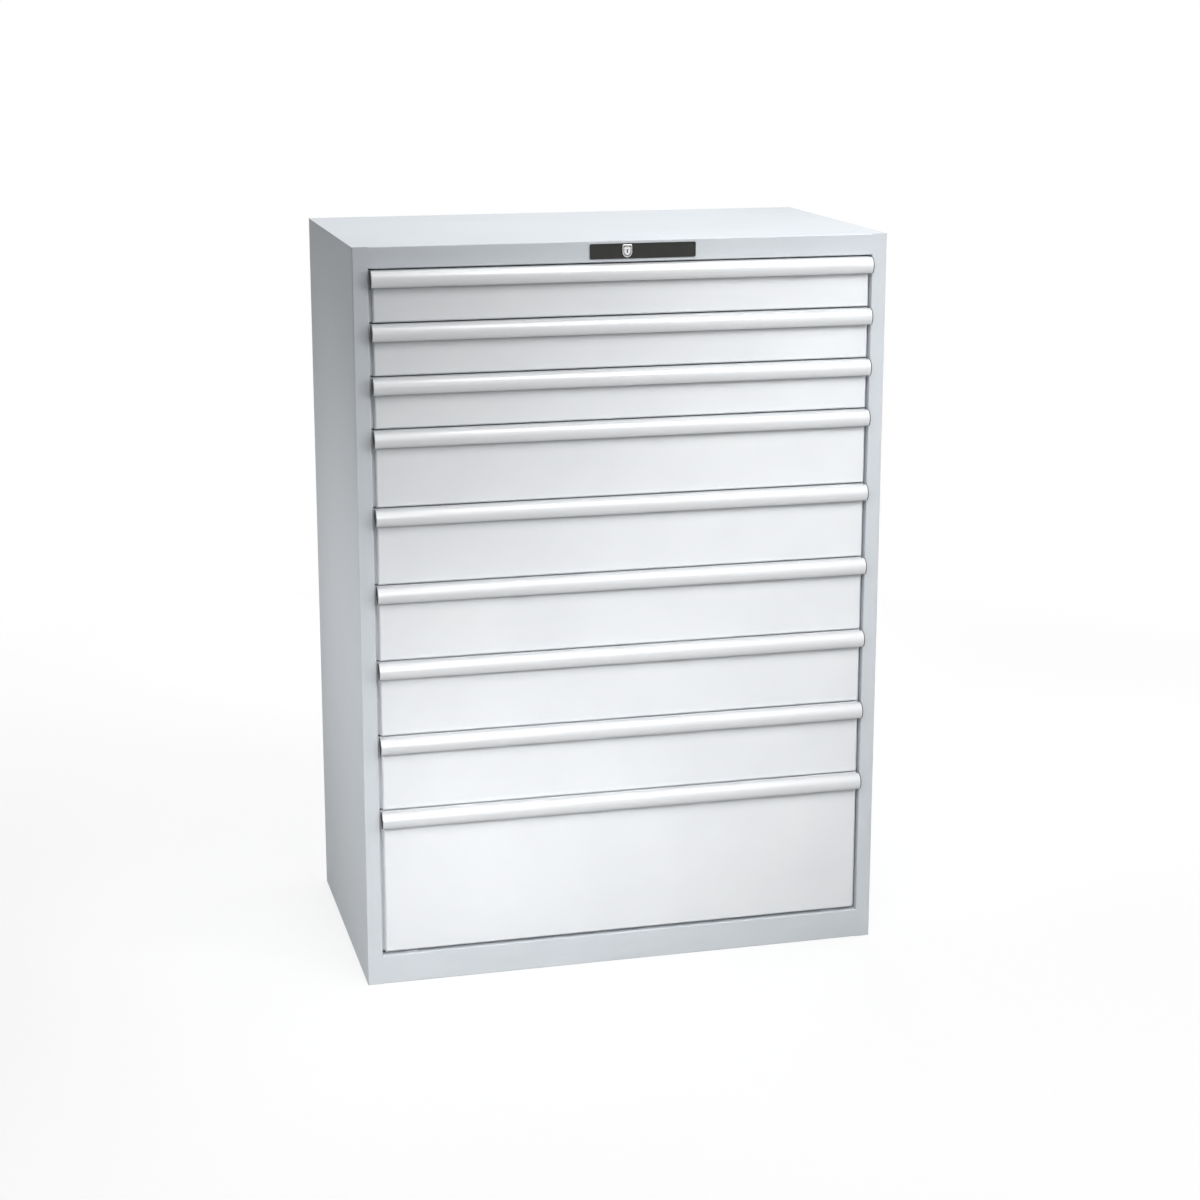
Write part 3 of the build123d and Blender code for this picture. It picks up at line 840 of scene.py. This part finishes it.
def use_tool(piece, tool, way="DIFFERENCE"):
    """Cuts a tool out of a piece, or joins it on, and throws the tool away."""
    select_only(piece)
    apply_modifier(piece, "BOOLEAN", operation=way, object=tool, solver="EXACT")
    bpy.data.meshes.remove(tool.data)


def drill(piece, centre, radius, length):
    """Cuts a round hole along Y, half of its length to each side of the centre."""
    round_bar(centre, radius, length)
    use_tool(piece, bpy.context.object)


print("tools ready")

# %% Model the plate
plate_low, plate_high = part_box("lock_plate")
plug_low, plug_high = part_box("lock_plug")
lock_z = (plug_low.z + plug_high.z) / 2
plate_corner = 0.0028
corner_steps = 6
edge_roll = 0.0004
rim_width = 0.0012
rim_rise = 0.0007
plate = box("lock_cover_plate", (plate_low.x, plate_low.y + edge_roll, plate_low.z), plate_high)
pick(plate, "EDGE", edge_along_y)
bpy.ops.mesh.bevel(offset=plate_corner, segments=corner_steps, affect="EDGES")
pick(plate, "FACE", face_towards(to_front))
bpy.ops.mesh.inset(thickness=edge_roll, depth=edge_roll)
bpy.ops.mesh.inset(thickness=rim_width)
bpy.ops.mesh.inset(thickness=edge_roll, depth=-rim_rise)
finish_mesh()
barrel_radius = 0.0085
hole_play = 0.0001
right_through = 4  # a bar this many times as long surely goes through
plate_depth = plate_high.y - plate_low.y
hole_centre = (0, plate_high.y, lock_z)
drill(plate, hole_centre, barrel_radius + hole_play, right_through * plate_depth)
finish_mesh()
dress(plate, "plate_plastic", "cabinet", "lock_plate")
print("plate faces:", len(plate.data.polygons))

# %% [markdown]
# ## Lock
# A shield-shaped bezel carries the lock. A block's two lower edges are bevelled so widely that
# they meet in a rounded point, and its upper ones only a little. Insets would cross each other in
# that point, so the face is stepped by extruding it and drawing it in towards its middle: a soft
# border, a groove as an inner outline, and the field.

# %% Model the shield
body_low, body_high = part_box("lock_body")
shield_point = 0.48 * (body_high.x - body_low.x)
point_steps, point_profile = 12, 0.42
shield_corner = 0.0024
groove_depth = 0.0005
face_steps = (  # how far each step draws in, and how far it rises
    (0.95, edge_roll),  # the rolled edge
    (0.88, 0),  # the border
    (0.98, -groove_depth),  # down into the groove
    (0.84, 0),  # the groove's floor
    (0.98, groove_depth),  # up to the field
)
shield = box(
    "lock_shield",
    (body_low.x, body_low.y + edge_roll, body_low.z),
    (body_high.x, plate_low.y + rim_rise, body_high.z),
)
pick(shield, "EDGE", both(edge_along_y, edge_at(z_axis, body_low.z)))
bpy.ops.mesh.bevel(
    offset=shield_point, segments=point_steps, profile=point_profile, affect="EDGES"
)
pick(shield, "EDGE", both(edge_along_y, edge_at(z_axis, body_high.z)))
bpy.ops.mesh.bevel(offset=shield_corner, segments=corner_steps, affect="EDGES")
pick(shield, "FACE", face_towards(to_front))
shield_middle = (0, body_low.y, lock_z)
for share, rise in face_steps:
    extrude((0, -rise, 0))
    bpy.ops.transform.resize(value=(share, 1, share), center_override=shield_middle)
print("shield's face has", len(face_steps), "steps")

# %% [markdown]
# The floor of the groove is copied off as a dark sheet, painted shade that darkens the groove into
# an outline. The barrel is then joined on behind the shield, and the bore for the plug goes through
# both.


# %% Copy off the groove's floor, and add barrel and bore
def in_groove(face):
    """A test for faces at the depth of the groove."""
    return close_to(face.calc_center_median().y, body_low.y + groove_depth)


pick(shield, "FACE", both(face_towards(to_front), in_groove))
bpy.ops.mesh.duplicate()
bpy.ops.mesh.separate(type="SELECTED")
groove_shade = next(o for o in bpy.context.selected_objects if o != shield)
finish_mesh()
barrel_length = body_high.y - plate_low.y
round_bar((0, plate_low.y + barrel_length / 2, lock_z), barrel_radius, barrel_length)
use_tool(shield, bpy.context.object, way="UNION")
plug_radius = (plug_high.x - plug_low.x) / 2
bore_centre = (0, plate_low.y, lock_z)
drill(shield, bore_centre, plug_radius + hole_play / 2, right_through * barrel_length)
finish_mesh()
dress(shield, "lock_metal", "cabinet", "lock_body")
print("shield faces:", len(shield.data.polygons))

# %% Give the groove's painted shade its thickness
# the dark sheet is painted shade, laid on the groove's floor
groove_shade_fill = 0.8
groove_shade.name = groove_shade.data.name = "lock_groove_shade"
select_only(groove_shade)
apply_modifier(groove_shade, "SOLIDIFY", thickness=groove_shade_fill * groove_depth, offset=1)
dress(groove_shade, "plate_plastic", "cabinet")
print("inlay faces:", len(groove_shade.data.polygons))

# %% [markdown]
# The plug is a round bar with a keyhole: a round hole with a slot under it, both cut 12 mm deep.

# %% Model the plug
plug_edge = 0.0003
plug_crown = 0.0001
keyhole_radius = 0.0019
keyhole_rise = 0.0016
keyhole_depth = 0.012
key_slot_width = 0.0018
key_slot_height = 0.0062
round_bar((plug_low + plug_high) / 2, plug_radius, plug_high.y - plug_low.y)
plug = begin("lock_core")
pick(plug, "FACE", face_towards(to_front))
bpy.ops.mesh.inset(thickness=plug_edge)
bpy.ops.transform.translate(value=(0, -plug_crown, 0))
finish_mesh()
keyhole_z = lock_z + keyhole_rise
drill(plug, (0, plug_low.y, keyhole_z), keyhole_radius, 2 * keyhole_depth)
slot_tool = box(
    "key_slot_tool",
    (-key_slot_width / 2, plug_low.y - keyhole_depth, keyhole_z - key_slot_height),
    (key_slot_width / 2, plug_low.y + keyhole_depth, keyhole_z),
)
use_tool(plug, slot_tool)
finish_mesh()
dress(plug, "lock_metal", "lock", "lock_plug")
print("plug faces:", len(plug.data.polygons))

# %% [markdown]
# ## Ground welds
# Where the header and the plinth meet the posts, the housing is welded and ground smooth, so no
# seam shows under the paint. Each weld fills the groove beside a post's fold: a small block whose
# inner edge is bevelled away, which leaves a three-sided bar. The left ones are mirrored from the
# right ones, and their normals turned out again.

# %% Fill the four seams
post_width = 0.030
post_bend = 0.0025
weld_cut = 0.98 * post_bend
header_height = 0.041
plinth_height = 0.059
top_sheet = 0.0015
seam_x = cad_box[1][0] - post_width
cabinet_top = cad_box[1][2]
inner_x, inner_y = seam_x + post_bend, front_y + post_bend
seams = {
    "header": (cabinet_top - header_height + post_bend, cabinet_top - top_sheet),
    "plinth": (0, plinth_height - post_bend),
}
for rail, (seam_low, seam_high) in seams.items():
    weld = box(
        f"{rail}_weld_right", (seam_x, front_y, seam_low), (inner_x, inner_y, seam_high)
    )
    pick(weld, "EDGE", both(edge_at(x_axis, inner_x), edge_at(y_axis, inner_y)))
    bpy.ops.mesh.bevel(offset=weld_cut, segments=1, affect="EDGES")
    bpy.ops.object.mode_set(mode="OBJECT")
    dress(weld, "housing_paint", "cabinet")
    twin = copy_of(weld, f"{rail}_weld_left", (0, 0, 0))
    select_only(twin)
    bpy.ops.object.mode_set(mode="EDIT")
    bpy.ops.mesh.select_all(action="SELECT")
    bpy.ops.transform.mirror(constraint_axis=(True, False, False), center_override=(0, 0, 0))
    bpy.ops.mesh.normals_make_consistent(inside=False)
    bpy.ops.object.mode_set(mode="OBJECT")
    dress(twin, "housing_paint", "cabinet")
print("welds beside the header and the plinth, at x", round(seam_x, 4))

# %% [markdown]
# ## Rivets on the back
# The rear panel is held to the flanges of the side panels by blind rivets. One head is modelled
# from a ball, cut off flat where it meets the sheet and flattened, with the small pit that the
# rivet's pin leaves in its crown. It is then copied up both flanges.

# %% Model one rivet
rivet_radius = 0.0045
rivet_rise = 0.0016
rivet_inset = 0.0125
rivet_low, rivet_high = 0.09, 1.40
crown_way = 0.97
crown_ring = 0.0004
pit_wall, pit_depth = 0.0002, 0.0004
flange_y = cad_box[1][1]
rivet_x = cad_box[1][0] - rivet_inset
rivet_place = (rivet_x, flange_y, rivet_low)
deselect_all()
bpy.ops.mesh.primitive_uv_sphere_add(
    segments=20, ring_count=10, radius=rivet_radius, location=rivet_place, rotation=(pi / 2, 0, 0)
)
rivet = begin("rear_rivets")
bpy.ops.mesh.select_all(action="SELECT")
bpy.ops.mesh.bisect(
    plane_co=(0, flange_y, 0), plane_no=to_back, use_fill=True, clear_inner=True
)
bpy.ops.mesh.select_all(action="SELECT")
flatter = (1, rivet_rise / rivet_radius, 1)
bpy.ops.transform.resize(value=flatter, center_override=rivet_place)
pick(rivet, "FACE", lambda face: face.normal.y > crown_way)
bpy.ops.mesh.inset(thickness=crown_ring)
bpy.ops.mesh.inset(thickness=pit_wall, depth=-pit_depth)
bpy.ops.mesh.select_all(action="SELECT")
bpy.ops.mesh.normals_make_consistent(inside=False)
finish_mesh()
print("rivet faces:", len(rivet.data.polygons))

# %% Copy the rivet up both flanges
rivet_count = 9
pitch = (rivet_high - rivet_low) / (rivet_count - 1)
heads = [rivet]
for across in (0, -2 * rivet_x):
    for row in range(rivet_count):
        if across or row:
            heads.append(copy_of(rivet, "rear_rivet", (across, 0, row * pitch)))
select_only(rivet)
for head in heads:
    head.select_set(True)
bpy.ops.object.join()
dress(rivet, "runner_steel", "cabinet")
print("rivets:", len(heads))
